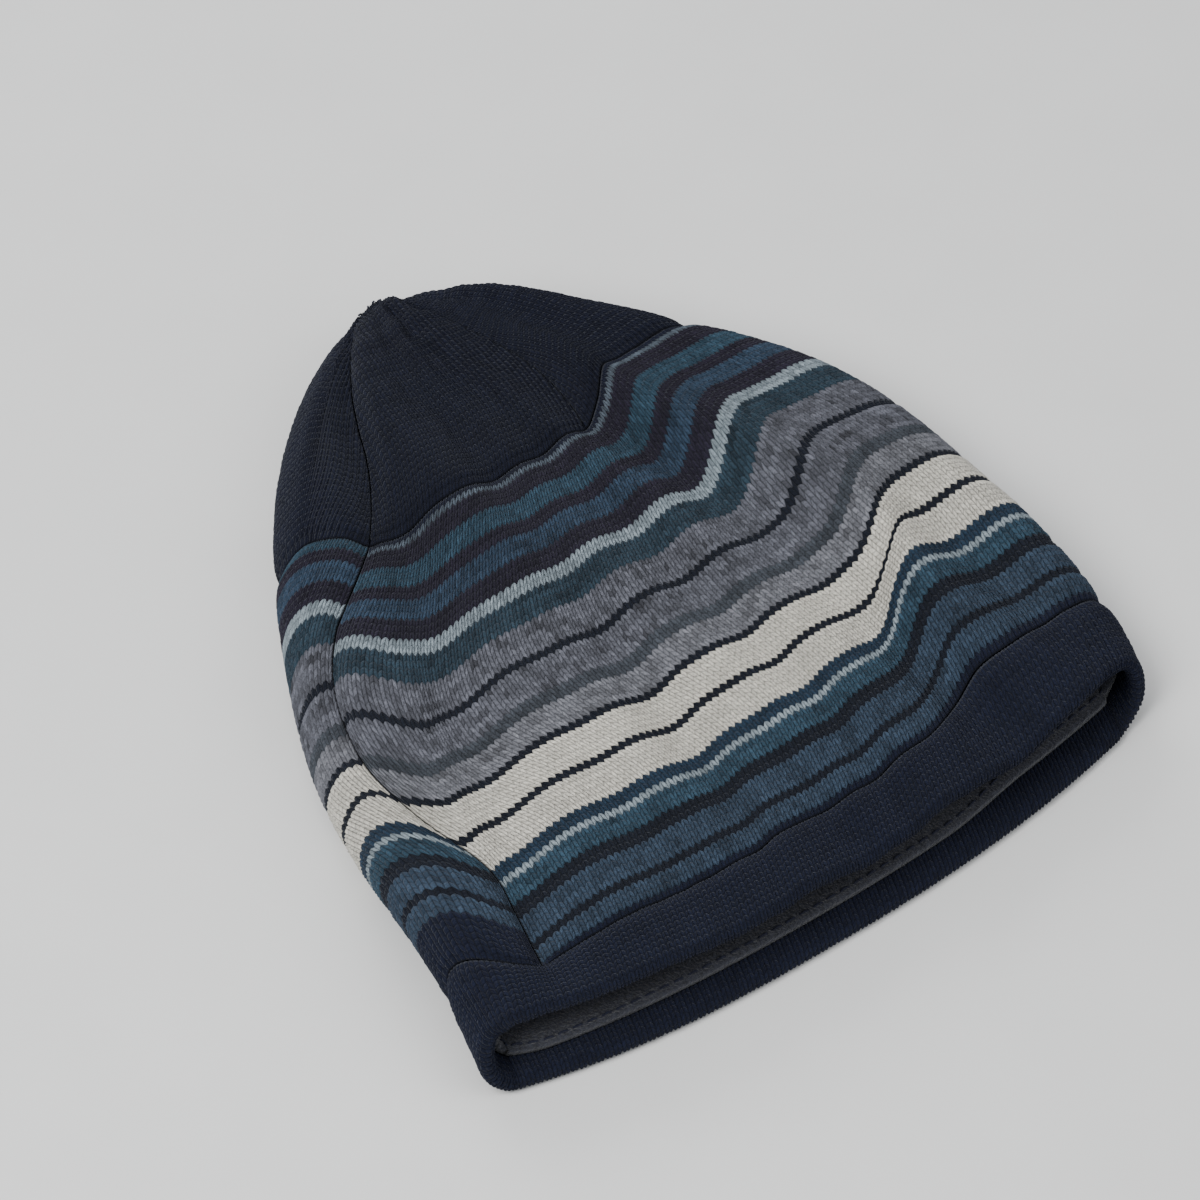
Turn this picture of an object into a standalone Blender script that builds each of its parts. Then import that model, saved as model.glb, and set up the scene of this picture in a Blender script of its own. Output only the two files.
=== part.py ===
"""Striped knitted ski beanie, lying flat on its back half.

The hem's open mouth faces -Y, the crown points to +Y, and +Z is up. Lengths are metres.

Every sewn piece is a part of one skin, which is described by three coordinates:
  v      how far up the cloth a point is, from 0 at the hem to 1 at the crown's pole
  p      how far round the cloth it is: 0 at the left side seam, 1 in the middle of the front,
         2 at the right side seam and 3 in the middle of the back
  depth  how far it is below the outer face
skin_point(v, p, depth) turns the three into a place, so pieces that share a boundary line fit.
"""

import math

import bmesh
import bpy
from mathutils import Matrix, Vector

# Outline of the hat as it lies
HAT_LENGTH = 0.226          # middle of the hem to the top of the crown
HALF_WIDTH = 0.1015         # half of the widest section
WIDEST_AT = 0.067           # height of that section above the middle of the hem
HEM_NARROWING = 0.0018      # how much narrower each side is at the hem
CROWN_TAPER = 0.20          # 0 gives an elliptical crown, more gives a narrower one
LEAN = 0.0185               # how far the crown lies to the right of the hem's middle
LEAN_RISE = 0.050           # length over which the lean sets in

# Thickness of the hat as it lies
HEM_HALF_THICKNESS = 0.0122
BODY_SWELL = 0.0014         # how much thicker each half is in the middle of the body
TIP_LENGTH = 0.020          # length over which the crown's edge rounds off
FRONT_BULGE = 0.0028        # the front face stands this much above flat
SETTLE = 0.0010             # how far the back face is pressed flat against the surface
SETTLE_EDGE = 0.0008        # how gently it comes away from the surface again

# How the courses of the knit run: they bow towards the hem in the middle of each face
HEM_BOW = 0.012             # the side corners of the hem are this much above its middle
MIDDLE_TURN = 0.006         # radius with which the middle wale turns over the crown's edge
SIDE_TURN = 0.0326          # the same for the wales that run up the two sides
SIDE_BOW_POWER = 2.5        # how sharply a course turns up near a side
SEAM_IN = 0.10              # the side seams lie this far round from the fold, in units of p
HEM_DRIFT = 0.17            # the left seam wanders this much further in towards the hem
CROWN_DRIFT = 0.40          # and this much towards the crown
HEM_DRIFT_FADE = (0.20, 0.40)       # where the first fades out, in units of v
CROWN_DRIFT_RISE = (0.42, 0.78)     # and where the second sets in

# Cloth
KNIT = 0.0022               # thickness of the jersey knit
FLEECE = 0.0020
PLY_GAP = 0.0003            # between plies that touch
BUTT_GAP = 0.0004           # between panels sewn edge to edge
RIDGE_GAP = 0.0009          # between the knit and a seam ridge, whose facets don't line up with it
SEAM_RIDGE = 0.0015         # thickness of an overlocked seam inside the hat
SEAM_HALF_WIDTH = 0.0028
SEAM_NARROWEST = 0.16       # the most a seam's half width may be near the pole, in units of p
THREAD_RADIUS = 0.0005
KNOT_RADIUS = 0.0017

# Where the pieces start and end, in units of v
BRIM_TOP = 0.0880
BODY_TOP = 0.6550
GORE_TOP = 0.9870
SEAM_TOP = 0.9550           # the crown seams run out here, where the gores come together
LINING_BOTTOM = 0.0350
LINING_TOP = 0.2850
EDGE_GAP = 0.0009           # about 0.2 mm each side of a line between two pieces
STITCH_INSET = 0.0200       # the join stops this far from the ear band's edges
LABEL_BOTTOM = 0.3700
LABEL_TOP = 0.4800
LABEL_LENGTH = 0.40         # in units of p
LABEL_HOLD = 0.01           # how far the label reaches under the stitches, in units of p
LABEL_THICKNESS = 0.0008    # two plies of tape
LABEL_ROWS = 2
LABEL_COLUMNS = 8
POLE = 0.9995               # the knot's place; the very pole has no direction to it
HIGHEST_SLOPE = 0.9990      # slopes of the skin are taken no nearer to the pole than this

RING_COLUMNS = 72           # columns of faces round the whole hat
RIDGE_COLUMNS = 2
BODY_ROWS = 11
GORE_ROWS = 9
BRIM_ROWS = 3
LINING_ROWS = 5

FABRICS = {
    "striped_knit": ((0.36, 0.38, 0.42), 0.90),
    "navy_knit": ((0.035, 0.040, 0.075), 0.92),
    "crown_knit": ((0.032, 0.034, 0.062), 0.92),
    "fleece": ((0.050, 0.052, 0.060), 0.95),
    "overlock_thread": ((0.060, 0.066, 0.100), 0.80),
    "satin_tape": ((0.70, 0.70, 0.68), 0.45),
}


def clear_scene():
    for obj in list(bpy.data.objects):
        bpy.data.objects.remove(obj, do_unlink=True)


def cloth_material(name):
    colour, roughness = FABRICS[name]
    material = bpy.data.materials.new(name)
    material.use_nodes = True
    shader = material.node_tree.nodes["Principled BSDF"]
    shader.inputs["Base Color"].default_value = (*colour, 1.0)
    shader.inputs["Roughness"].default_value = roughness
    shader.inputs["Metallic"].default_value = 0.0
    return material


# ---------------------------------------------------------------- the shape of the skin

def cloth_length():
    """Distance up the middle of the front from the hem to the pole."""
    return math.sqrt((HAT_LENGTH + MIDDLE_TURN) ** 2 - MIDDLE_TURN ** 2)


def middle_y(v):
    """Where the middle wale has got to, turning over the crown's edge near the pole."""
    rest = (1.0 - v) * cloth_length()
    return HAT_LENGTH - (math.hypot(rest, MIDDLE_TURN) - MIDDLE_TURN)


def side_y(v):
    """Where a wale that runs up one side has got to."""
    drop = HAT_LENGTH - HEM_BOW
    stretch = math.sqrt(drop * drop + 2.0 * SIDE_TURN * drop) / cloth_length()
    rest = (1.0 - v) * cloth_length() * stretch
    return HAT_LENGTH - (math.hypot(rest, SIDE_TURN) - SIDE_TURN)


def half_width(y):
    if y < WIDEST_AT:
        return HALF_WIDTH - HEM_NARROWING * ((WIDEST_AT - y) / WIDEST_AT) ** 2
    t = min((y - WIDEST_AT) / (HAT_LENGTH - WIDEST_AT), 1.0)
    return HALF_WIDTH * math.sqrt(1.0 - t * t) * (1.0 - CROWN_TAPER * t * t)


def middle_height(y):
    """Height of the middle of the thickness above the surface the hat lies on."""
    return HEM_HALF_THICKNESS + BODY_SWELL * math.sin(math.pi * min(max(y / HAT_LENGTH, 0.0), 1.0))


def half_thickness(y):
    to_tip = max(1.0 - (HAT_LENGTH - y) / TIP_LENGTH, 0.0)
    return middle_height(y) * math.sqrt(max(1.0 - to_tip * to_tip, 0.0))


def centre_line(y):
    return LEAN * (1.0 - math.exp(-y / LEAN_RISE))


def quarter_girth(y):
    """Length of a quarter of the section at y: half a flat and half of a round side."""
    radius = half_thickness(y)
    return math.pi / 2.0 * radius + half_width(y) - radius


def section(p, y):
    """Place p round the section at y, as (how far along the flat -1..1, angle of the round side)."""
    radius = half_thickness(y)
    round_part = math.pi / 2.0 * radius / quarter_girth(y)
    quarter, along = divmod(p % 4.0, 1.0)
    from_side = along if quarter in (0, 2) else 1.0 - along
    turn = math.pi / 2.0 * min(from_side / round_part, 1.0)
    flat = 1.0 - max(from_side - round_part, 0.0) / (1.0 - round_part)
    side = -1.0 if quarter in (0, 3) else 1.0
    face = 1.0 if quarter in (0, 1) else -1.0
    return side * flat, side * math.cos(turn), face * math.sin(turn)


def smooth_step(x, start, end):
    """0 up to start, 1 from end on, and a smooth step between them."""
    t = min(max((x - start) / (end - start), 0.0), 1.0)
    return t * t * (3.0 - 2.0 * t)


def turned(v, p):
    """How far round from the left fold the cloth's p comes to lie: the left seam wanders most."""
    wander = HEM_DRIFT * (1.0 - smooth_step(v, *HEM_DRIFT_FADE))
    wander += CROWN_DRIFT * smooth_step(v, *CROWN_DRIFT_RISE)
    return p + SEAM_IN + wander * math.cos(math.pi * p / 4.0) ** 2


def settled(z):
    """Height z pressed down onto the surface that the hat lies on, without a crease."""
    low = z - SETTLE
    if low >= SETTLE_EDGE:
        return low
    return max(low + SETTLE_EDGE, 0.0) ** 2 / (4.0 * SETTLE_EDGE)


def outer_face(v, p):
    """The outer face of the skin."""
    reference = middle_y(v)
    flat, out, up = section(turned(v, p), reference)
    radius = half_thickness(reference)
    width = half_width(reference)
    across = abs(flat * (width - radius) + out * radius) / width
    y = reference + (side_y(v) - reference) * across ** SIDE_BOW_POWER
    radius = half_thickness(y)
    x = centre_line(y) + flat * (half_width(y) - radius) + out * radius
    z = middle_height(y) + up * radius
    if up > 0.0:
        z += FRONT_BULGE * up * (1.0 - flat * flat) * radius / middle_height(y)
    return Vector((x, y, settled(z)))


def skin_point(v, p, depth=0.0):
    """A point of the skin, depth below its outer face."""
    step_v, step_p = 0.002, 0.01
    up = outer_face(min(v + step_v, HIGHEST_SLOPE), p) - outer_face(v - step_v, p)
    across = outer_face(v, p + step_p) - outer_face(v, p - step_p)
    outward = across.cross(up).normalized()
    return outer_face(v, p) - outward * depth


# ---------------------------------------------------------------- making the pieces

def metres_to_p(length, v):
    return length / quarter_girth(middle_y(v))


def add_object(name, mesh, material, collection):
    mesh.materials.append(material)
    obj = bpy.data.objects.new(name, mesh)
    collection.objects.link(obj)
    mesh.shade_smooth()
    mesh.set_sharp_from_angle(angle=math.radians(50.0))
    return obj


def sew(name, outside, inside, edges, columns, material, collection):
    """A closed piece of skin between two paths.

    outside and inside are lists of (v, depth) of one length, along the piece's two faces.
    edges(v) gives the p of its two ends, or is None for a ring that goes all the way round.
    """
    ring = edges is None
    count = columns if ring else columns + 1
    mesh = bmesh.new()

    def face_grid(path):
        grid = []
        for j in range(count):
            column = []
            for v, depth in path:
                start, end = (0.0, 4.0) if ring else edges(v)
                column.append(mesh.verts.new(skin_point(v, start + (end - start) * j / columns, depth)))
            grid.append(column)
        return grid

    outer = face_grid(outside)
    inner = face_grid(inside)
    last = len(outside) - 1
    for j in range(columns):
        k = (j + 1) % count
        for i in range(last):
            mesh.faces.new((outer[j][i], outer[k][i], outer[k][i + 1], outer[j][i + 1]))
            mesh.faces.new((inner[j][i], inner[j][i + 1], inner[k][i + 1], inner[k][i]))
        mesh.faces.new((outer[j][0], inner[j][0], inner[k][0], outer[k][0]))
        mesh.faces.new((outer[j][last], outer[k][last], inner[k][last], inner[j][last]))
    if not ring:
        for i in range(last):
            mesh.faces.new((outer[0][i], outer[0][i + 1], inner[0][i + 1], inner[0][i]))
            mesh.faces.new((outer[-1][i], inner[-1][i], inner[-1][i + 1], outer[-1][i + 1]))
    bmesh.ops.recalc_face_normals(mesh, faces=mesh.faces)
    data = bpy.data.meshes.new(name)
    mesh.to_mesh(data)
    mesh.free()
    return add_object(name, data, material, collection)


def ply(v_start, v_end, rows, top, bottom):
    """The two paths of a single ply between two depths."""
    heights = [v_start + (v_end - v_start) * i / rows for i in range(rows + 1)]
    return [(v, top) for v in heights], [(v, bottom) for v in heights]


def crown_rows(v_start, v_end, rows, top, bottom):
    """A ply whose rows come closer together towards the pole, where it curves most."""
    heights = []
    for i in range(rows + 1):
        heights.append(v_start + (v_end - v_start) * math.sin(math.pi / 2.0 * i / rows))
    return [(v, top) for v in heights], [(v, bottom) for v in heights]


def panel_edges(first_seam, last_seam):
    """Ends of a panel that is sewn to its neighbours at the seams p = first_seam and last_seam."""
    def edges(v):
        gap = metres_to_p(BUTT_GAP / 2.0, v)
        return first_seam + gap, last_seam - gap
    return edges


def seam_edges(seam):
    """Sides of a ridge that follows one seam, narrowing where the crown leaves little room."""
    def edges(v):
        half = min(metres_to_p(SEAM_HALF_WIDTH, v), SEAM_NARROWEST)
        return seam - half, seam + half
    return edges


def body_panels(materials, collection):
    outside, inside = ply(BRIM_TOP + EDGE_GAP, BODY_TOP - EDGE_GAP, BODY_ROWS, 0.0, KNIT)
    half = RING_COLUMNS // 2
    knit = materials["striped_knit"]
    sew("front_panel", outside, inside, panel_edges(0, 2), half, knit, collection)
    sew("back_panel", outside, inside, panel_edges(2, 4), half, knit, collection)


def crown_gores(materials, collection):
    outside, inside = crown_rows(BODY_TOP + EDGE_GAP, GORE_TOP, GORE_ROWS, 0.0, KNIT)
    for first_seam, place in enumerate(("front", "right", "back", "left")):
        sew("crown_gore_" + place, outside, inside, panel_edges(first_seam, first_seam + 1),
            RING_COLUMNS // 4, materials["crown_knit"], collection)


def brim_band(materials, collection):
    """A band of knit folded in two over the hem, open along its top edge."""
    fold = KNIT + PLY_GAP / 2.0
    length = cloth_length()
    top, nose = BRIM_TOP - EDGE_GAP, fold / length
    rows = [top + (nose - top) * i / BRIM_ROWS for i in range(BRIM_ROWS)]
    outside = [(v, 0.0) for v in rows]
    inside = [(v, KNIT) for v in rows]
    for turn in (0.0, 45.0, 90.0, 135.0, 180.0):
        down, deep = math.sin(math.radians(turn)), math.cos(math.radians(turn))
        outside.append(((fold - fold * down) / length, fold - fold * deep))
        inside.append(((fold - PLY_GAP / 2.0 * down) / length, fold - PLY_GAP / 2.0 * deep))
    outside += [(v, 2.0 * fold) for v in reversed(rows)]
    inside += [(v, KNIT + PLY_GAP) for v in reversed(rows)]
    sew("brim_band", outside, inside, None, RING_COLUMNS, materials["navy_knit"], collection)


def inner_seams(materials, collection):
    """Overlocked seam allowances, which stand as flat ridges on the inside of the hat."""
    thread = materials["overlock_thread"]
    top, bottom = KNIT + RIDGE_GAP, KNIT + RIDGE_GAP + SEAM_RIDGE
    width = 2.0 * SEAM_HALF_WIDTH / cloth_length()
    brim = ply(BRIM_TOP + EDGE_GAP, BRIM_TOP + EDGE_GAP + width, 1, top, bottom)
    sew("brim_seam", *brim, None, RING_COLUMNS, thread, collection)
    ring = ply(BODY_TOP - width / 2.0, BODY_TOP + width / 2.0, 1, top, bottom)
    sew("crown_ring_seam", *ring, None, RING_COLUMNS, thread, collection)

    side = ply(brim[0][-1][0] + 2 * EDGE_GAP, ring[0][0][0] - 2 * EDGE_GAP, BODY_ROWS, top, bottom)
    for seam, place in ((0, "left"), (2, "right")):
        sew("side_seam_" + place, *side, seam_edges(seam), RIDGE_COLUMNS, thread, collection)
    crown = crown_rows(ring[0][-1][0] + 2 * EDGE_GAP, SEAM_TOP, GORE_ROWS, top, bottom)
    for seam, place in enumerate(("front_left", "front_right", "back_right", "back_left")):
        sew("crown_seam_" + place, *crown, seam_edges(seam), RIDGE_COLUMNS, thread, collection)


def ear_band(materials, collection):
    """Fleece strip round the inside of the mouth, its ends butted and stitched at the left seam."""
    top = 2.0 * KNIT + 2.0 * PLY_GAP
    bottom = top + FLEECE
    outside, inside = ply(LINING_BOTTOM, LINING_TOP, LINING_ROWS, top, bottom)
    fleece, thread = materials["fleece"], materials["overlock_thread"]
    sew("ear_band_lining", outside, inside, panel_edges(0, 4), RING_COLUMNS, fleece, collection)
    join = ply(LINING_BOTTOM + STITCH_INSET, LINING_TOP - STITCH_INSET, LINING_ROWS,
               bottom + RIDGE_GAP, bottom + 2.0 * RIDGE_GAP)
    sew("lining_join_stitch", *join, seam_edges(0), RIDGE_COLUMNS, thread, collection)
    stitch_depth = bottom + RIDGE_GAP + THREAD_RADIUS
    inset = STITCH_INSET / 2.0
    for place, v in (("lower", LINING_BOTTOM + inset), ("upper", LINING_TOP - inset)):
        stitch_ring(f"lining_{place}_stitch", v, stitch_depth, thread, collection)


def stitch_ring(name, v, depth, thread, collection):
    """A thread that runs all the way round at one height."""
    curve = bpy.data.curves.new(name, "CURVE")
    curve.dimensions = "3D"
    curve.bevel_depth = THREAD_RADIUS
    curve.bevel_resolution = 1
    curve.materials.append(thread)
    spline = curve.splines.new("POLY")
    spline.points.add(RING_COLUMNS - 1)
    spline.use_cyclic_u = True
    for j, point in enumerate(spline.points):
        point.co = (*skin_point(v, 4.0 * j / RING_COLUMNS, depth), 1.0)
    collection.objects.link(bpy.data.objects.new(name, curve))


def care_label(materials, collection):
    """A folded satin tape, sewn to the inside of the left side seam and lying on the back panel."""
    top = KNIT + RIDGE_GAP + SEAM_RIDGE + RIDGE_GAP
    outside, inside = ply(LABEL_BOTTOM, LABEL_TOP, LABEL_ROWS, top, top + LABEL_THICKNESS)

    def edges(v):
        return -LABEL_LENGTH, LABEL_HOLD

    sew("care_label", outside, inside, edges, LABEL_COLUMNS, materials["satin_tape"], collection)


def crown_tack(materials, collection):
    """The knot of thread that draws the four gores together at the pole."""
    bpy.ops.mesh.primitive_uv_sphere_add(segments=16, ring_count=8, radius=KNOT_RADIUS)
    knot = bpy.context.object
    knot.name = "crown_tack"
    mesh = knot.data
    bpy.data.objects.remove(knot)
    mesh.transform(Matrix.Translation(skin_point(POLE, 0.0, KNIT / 2.0)))
    add_object("crown_tack", mesh, materials["overlock_thread"], collection)


def stand_on_origin(objects):
    """Moves the whole hat so that the middle of its box's underside is the origin."""
    corners = []
    for obj in objects:
        if obj.type == "MESH":
            corners += [v.co for v in obj.data.vertices]
    low = Vector([min(c[i] for c in corners) for i in range(3)])
    high = Vector([max(c[i] for c in corners) for i in range(3)])
    shift = Vector((-(low.x + high.x) / 2.0, -(low.y + high.y) / 2.0, -low.z))
    for obj in objects:
        obj.data.transform(Matrix.Translation(shift))


def main():
    clear_scene()
    collection = bpy.data.collections.new("striped_beanie")
    bpy.context.scene.collection.children.link(collection)
    materials = {name: cloth_material(name) for name in FABRICS}
    body_panels(materials, collection)
    crown_gores(materials, collection)
    brim_band(materials, collection)
    inner_seams(materials, collection)
    ear_band(materials, collection)
    care_label(materials, collection)
    crown_tack(materials, collection)
    stand_on_origin(list(collection.objects))


main()
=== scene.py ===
"""Looks of the striped knitted ski beanie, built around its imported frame.

The cloth is one skin, described as in the frame:
  v      how far up the cloth a point is, from 0 at the hem to 1 at the crown's pole
  p      how far round it is: 0 at the left side seam, 1 in the middle of the front,
         2 at the right side seam and 3 in the middle of the back
  depth  how far it is below the outer face
Lengths are metres. Every knitted piece has its real stitches, as relief in its mesh.
"""

import math

import bmesh
import bpy
import numpy as np
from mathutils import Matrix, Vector


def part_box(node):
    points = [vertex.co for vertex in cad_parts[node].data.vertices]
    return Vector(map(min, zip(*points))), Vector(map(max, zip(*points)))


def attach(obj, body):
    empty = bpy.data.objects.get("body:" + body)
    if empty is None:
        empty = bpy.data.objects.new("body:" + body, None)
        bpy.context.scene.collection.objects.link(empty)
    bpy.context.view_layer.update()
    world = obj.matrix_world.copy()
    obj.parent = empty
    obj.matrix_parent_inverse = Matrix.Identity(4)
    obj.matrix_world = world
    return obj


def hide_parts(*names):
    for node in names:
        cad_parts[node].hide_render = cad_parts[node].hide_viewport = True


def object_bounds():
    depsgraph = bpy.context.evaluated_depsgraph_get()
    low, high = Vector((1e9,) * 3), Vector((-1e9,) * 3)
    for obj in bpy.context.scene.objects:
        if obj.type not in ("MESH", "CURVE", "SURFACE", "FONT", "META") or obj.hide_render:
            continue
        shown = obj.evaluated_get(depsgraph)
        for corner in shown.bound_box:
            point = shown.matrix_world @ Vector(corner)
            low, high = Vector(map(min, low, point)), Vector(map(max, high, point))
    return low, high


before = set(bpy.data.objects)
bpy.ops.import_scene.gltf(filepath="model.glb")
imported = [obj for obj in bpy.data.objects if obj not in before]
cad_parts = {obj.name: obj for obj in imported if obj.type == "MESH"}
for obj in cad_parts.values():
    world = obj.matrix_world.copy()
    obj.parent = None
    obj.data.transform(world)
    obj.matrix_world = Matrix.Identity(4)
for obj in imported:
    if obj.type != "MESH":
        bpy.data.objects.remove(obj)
CAD_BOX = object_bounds()

# ---------------------------------------- sizes, as in the frame

HAT_LENGTH = 0.226          # middle of the hem to the top of the crown
HALF_WIDTH = 0.1015         # half of the widest section
WIDEST_AT = 0.067           # height of that section above the middle of the hem
HEM_NARROWING = 0.0018      # how much narrower each side is at the hem
CROWN_TAPER = 0.20          # 0 gives an elliptical crown, more gives a narrower one
LEAN = 0.0185               # how far the crown lies to the right of the hem's middle
LEAN_RISE = 0.050           # length over which the lean sets in
HEM_HALF_THICKNESS = 0.0122
BODY_SWELL = 0.0014         # how much thicker each half is in the middle of the body
TIP_LENGTH = 0.020          # length over which the crown's edge rounds off
FRONT_BULGE = 0.0028        # the front face stands this much above flat
SETTLE = 0.0010             # how far the back face is pressed flat against the surface
SETTLE_EDGE = 0.0008        # how gently it comes away from the surface again
HEM_BOW = 0.012             # the side corners of the hem are this much above its middle
MIDDLE_TURN = 0.006         # radius with which the middle wale turns over the crown's edge
SIDE_TURN = 0.0326          # the same for the wales that run up the two sides
SIDE_BOW_POWER = 2.5        # how sharply a course turns up near a side
SEAM_IN = 0.10              # the side seams lie this far round from the fold, in units of p
HEM_DRIFT = 0.17            # the left seam wanders this much further in towards the hem
CROWN_DRIFT = 0.40          # and this much towards the crown
HEM_DRIFT_FADE = (0.20, 0.40)       # where the first fades out, in units of v
CROWN_DRIFT_RISE = (0.42, 0.78)     # and where the second sets in

KNIT = 0.0022               # thickness of the jersey knit
FLEECE = 0.0020
PLY_GAP = 0.0003            # between plies that touch
BUTT_GAP = 0.0004           # between panels sewn edge to edge
RIDGE_GAP = 0.0009          # between the knit and a seam ridge
SEAM_RIDGE = 0.0015         # thickness of an overlocked seam inside the hat
SEAM_HALF_WIDTH = 0.0028
SEAM_NARROWEST = 0.16       # the most a seam's half width may be near the pole, in units of p

# Heights, in units of v
BRIM_TOP = 0.0880
BODY_TOP = 0.6550
GORE_TOP = 0.9940
SEAM_TOP = 0.9550           # the crown seams run out here, where the gores come together
LINING_BOTTOM = 0.0350
LINING_TOP = 0.2850
EDGE_GAP = 0.0009           # about 0.2 mm each side of a line between two pieces
STITCH_INSET = 0.0200       # the join stops this far from the ear band's edges
LABEL_BOTTOM = 0.3700
LABEL_TOP = 0.4800
LABEL_LENGTH = 0.40         # in units of p
LABEL_HOLD = 0.01           # how far the label reaches under the stitches, in units of p
LABEL_THICKNESS = 0.0008    # two plies of tape
POLE = 0.9995               # the knot's place; the very pole has no direction to it

# ---------------------------------------- how the courses run over the front

# These change up the hat: the value at the hem, then each change and the heights that it runs between
SAG = (0.28, (-0.168, 0.50, 0.65))                  # how far a course sags in the middle
LEFT_TURN = (0.80, (-0.25, 0.35, 0.55))             # where its left half turns over the side
CLIMB = (0.50, (0.14, 0.20, 0.32), (-0.14, 0.36, 0.52), (-0.10, 0.50, 0.65))   # where its right half climbs
CLIMB_WIDTH = (0.26, (0.10, 0.34, 0.54))
# And these are shares of a course's rise at the side
LEFT_SLOPE = 0.06
LEFT_SLOPE_REACH = 0.80     # how far out the slope goes on
RIGHT_SLOPE = 0.42
RIGHT_CLIMB = 0.70
BEND_RISE = (0.0, 0.13)     # heights between which all this sets in
BEND_FADE = (0.72, 0.94)

# ---------------------------------------- folds and dents of the cloth

SEAM_DENT = 0.0026          # along the left side seam
RIGHT_DENT = 0.0012
CROWN_DENT = 0.0013
RING_DENT = 0.0006          # where the crown starts
DENT_WIDTH = 0.0050
SIDE_DENT_RISE = (0.05, 0.13)
CROWN_DENT_RISE = (0.60, 0.70)
BRIM_STEP = 0.0006          # how much the folded brim stands out
BRIM_STEP_REACH = 0.010     # how far above and below its top this fades, in units of v
FOLD_HEIGHT = 0.0034        # soft fold along the right of the front
FOLD_WIDTH = 0.075          # in units of p
FOLD_PLACE = (1.60, (-0.22, 0.35, 0.70))            # its place at the hem and its change up the hat
FOLD_RISE = (0.0, 0.16)
FOLD_FADE = (0.66, 0.86)
HOLLOW_SHARE = 0.5          # depth of the hollow beside the fold, as a share of the fold's height
HOLLOW_AWAY = 1.9           # and its distance in widths of the fold
MOUTH_SAG = 0.0045          # how far the upper lip of the mouth sinks in the middle
MOUTH_REACH = 0.22
PLEATS = ((7, 0.0010, 0.4), (10, 0.0009, 2.1), (15, 0.0007, 4.0), (21, 0.0004, 1.1))    # count, height, phase
PLEATS_RISE = (0.58, 0.85)
# Long shallow waves: how many round the hat, how much they turn up it, and their phase
WAVES = ((2, 3, 0.3), (3, -2, 1.9), (5, 3, 4.4), (4, -7, 2.6), (7, 5, 5.2), (9, -3, 0.9), (11, 8, 3.7))
WAVE_HEIGHT = 0.0007
POLE_FADE = (0.92, 0.99)    # where folds and dents die out
RESTING = 0.006             # cloth lower than this above the floor swells less, and on it not at all
SLOPE_STEPS = (0.002, 0.01)     # how far off in v and p the points lie that give the skin's slope

# ---------------------------------------- how the cloth goes slack

SLACK_ROWS = 50             # a coarse tube of the cloth, that is simulated
SLACK_COLUMNS = 100
SLACK_FRAMES = 26
SLACK_GROWTH = 0.035        # how much longer the slack cloth is than its smooth shape
SLACK_LIMIT = 0.005         # how far it may move
HEM_HOLD = 0.50             # how firmly the hem is held where it is
HEM_HELD = 0.05             # up to this height
POLE_HELD = 0.93            # and the pole from this height on
SLACK_CLOTH = {
    "quality": 8, "mass": 0.0005, "air_damping": 3.0, "shrink_min": -SLACK_GROWTH,
    "tension_stiffness": 15.0, "compression_stiffness": 15.0, "shear_stiffness": 5.0,
    "bending_stiffness": 0.30, "pin_stiffness": 1.0,
}
REST_HEIGHT = 0.0015        # cloth below this lies on the floor and stays there
FREE_HEIGHT = 0.0180        # and cloth above this is free
TINY_MOVE = 1e-6            # a share of SLACK_LIMIT

# ---------------------------------------- the knit

WALE = 0.00218              # distance between columns of stitches
COLUMNS = 4                 # columns of faces in a stitch
ROWS = 3                    # rows of faces in a stitch
SLANT = 0.60                # how far the two legs of a stitch slope, in courses
ACROSS = np.array([0.0, 1.0, 0.42, 1.0])    # height of the yarn across a stitch, from its left edge
ALONG = np.array([0.30, 1.0, 1.0])          # and from its foot to its head
RELIEF = 0.00062            # depth of the grooves between columns of stitches
UNEVEN = 0.22               # how much the stitches differ in height
LINE_GROOVE = 0.00035       # how deep a single dark course lies between two bands
EDGE_TUCK = 0.0011          # how deep the cloth turns in at a seam
TUCK_LENGTH = 0.0022
DEEPEST = 0.85              # the most of the cloth's thickness that all this may take
STREAK_SHARE = 0.6          # how much of a leg's shade runs on along the yarn
SPECK_SHARE = 0.6           # and how much is its own
SHADE_LIMIT = 2.0
DARKEST_SHADE = 0.3
MERGE_DISTANCE = 1e-6       # points of a cut edge this close become one

BODY_COURSES = 68
BRIM_COURSES = 23
GORE_COURSES = 40
PANEL_WALES = 100
GORE_WALES = 42
BRIM_WALES = 200
PANEL_STEP = 6              # courses by which the back panel's stripes sit nearer to the crown

# ---------------------------------------- threads and stitches

SEWING_THREAD = 0.00032     # radii
ZIGZAG_THREAD = 0.00034
TACK_THREAD = 0.00028
OVERLOCK_PITCH = 0.0017     # distance between the loops of an overlocked seam
LOOP_POINTS = 10
BUNDLE = (-0.55, 0.0, 0.55)     # where the threads in the seam's bundle run, in half widths of the seam
BUNDLE_THICKNESS = 1.5      # how thick they are against the loops
RING_POINTS = 240
RUN_POINTS = 60
RUN_CLEARANCE = 1.3         # seams up the hat stop this many half widths from a seam round it
PILE = 0.0003               # how rough the fleece's inner face is
DASHES = 118                # stitches round the ear band
DASH_PLACES = np.array([0.0, 0.12, 0.36, 0.60, 0.72])           # along a stitch and the gap after it
DASH_HEIGHTS = np.array([-0.0007, 0.0, 0.0001, 0.0, -0.0007])   # its ends go into the fleece
ZIGZAG_STEP = 0.0045        # in units of v
ZIGZAG_HALF_WIDTH = 0.018   # in units of p
ZIGZAG_HEIGHT = 0.0003
BAND_MIDDLE = 0.03          # height at which the ear band's girth is taken
TACK_LINES = 7              # threads across the pole
TACK_START = 0.3            # in units of p
TACK_REACH = np.array([0.972, 0.980, 0.988, 0.996])
TACK_HEIGHT = 0.0001
KNOT_AT = 0.9915
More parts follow.
